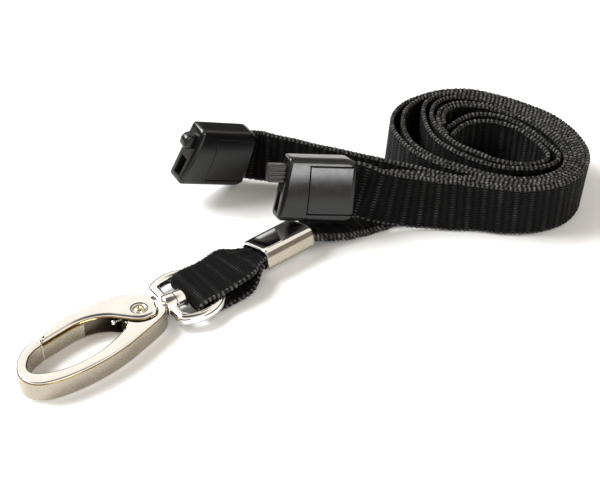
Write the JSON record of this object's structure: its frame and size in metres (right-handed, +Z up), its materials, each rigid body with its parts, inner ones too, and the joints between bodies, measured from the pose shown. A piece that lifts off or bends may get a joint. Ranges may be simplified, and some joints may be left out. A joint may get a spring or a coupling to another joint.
{
  "type": "lanyard",
  "caption": "Neck lanyard: coiled flat woven strap, crimp ferrule, swivel ring with an oval trigger hook, and a breakaway buckle whose two halves are apart.",
  "frame": {"origin": "on the rest plane, under the rivet that the gate turns on", "axes": "+X along the swivel axis from the hook to the coiled strap, +Z up, out of the hook's flat face"},
  "size_m": [0.1131, 0.0495, 0.0165],
  "materials": {
    "nickel_plate": "bright plated zinc, satin on the side walls",
    "spring_steel": "drawn wire",
    "black_plastic": "semi-gloss moulded acetal",
    "black_webbing": "ribbed woven polyester"
  },
  "bodies": {
    "strap": {"ferrule": "nickel_plate", "buckle_a_housing": "black_plastic", "buckle_b_housing": "black_plastic", "strap_ring_loop": "black_webbing", "strap_tail_1": "black_webbing", "strap_tail_2": "black_webbing", "strap_end_a": "black_webbing", "strap_end_b": "black_webbing", "strap_coil": "black_webbing"},
    "ring": {"swivel_ring": "nickel_plate"},
    "hook": {"hook_body": "nickel_plate", "gate_rivet": "nickel_plate", "gate_spring": "spring_steel", "swivel_post": "nickel_plate"},
    "gate": {"gate": "nickel_plate"},
    "lid_a": {"buckle_a_lid": "black_plastic"},
    "lid_b": {"buckle_b_lid": "black_plastic"}
  },
  "joints": [
    {"name": "ring_tilt", "type": "hinge", "parent": "strap", "child": "ring", "pos_m": [0.0149, 0.0003, 0.002], "axis": [0, 1, 0], "range_deg": [0, 60], "deforming": ["strap_ring_loop"]},
    {"name": "hook_swivel", "type": "hinge", "parent": "ring", "child": "hook", "pos_m": [0.0045, 0, 0.002], "axis": [1, 0, 0], "continuous": true},
    {"name": "gate_hinge", "type": "hinge", "parent": "hook", "child": "gate", "pos_m": [0, 0, 0.002], "axis": [0, 0, 1], "range_deg": [0, 20], "stiffness_Nm_per_rad": 0.004, "springref_deg": -22.92},
    {"name": "lid_a_hinge", "type": "hinge", "parent": "strap", "child": "lid_a", "pos_m": [0.04392, 0.00111, 0.00892], "axis": [0.2838, 0.2511, 0.9254], "range_deg": [0, 75]},
    {"name": "lid_b_hinge", "type": "hinge", "parent": "strap", "child": "lid_b", "pos_m": [0.03668, 0.02353, 0.00619], "axis": [0.3534, -0.0772, 0.9323], "range_deg": [0, 75]}
  ]
}
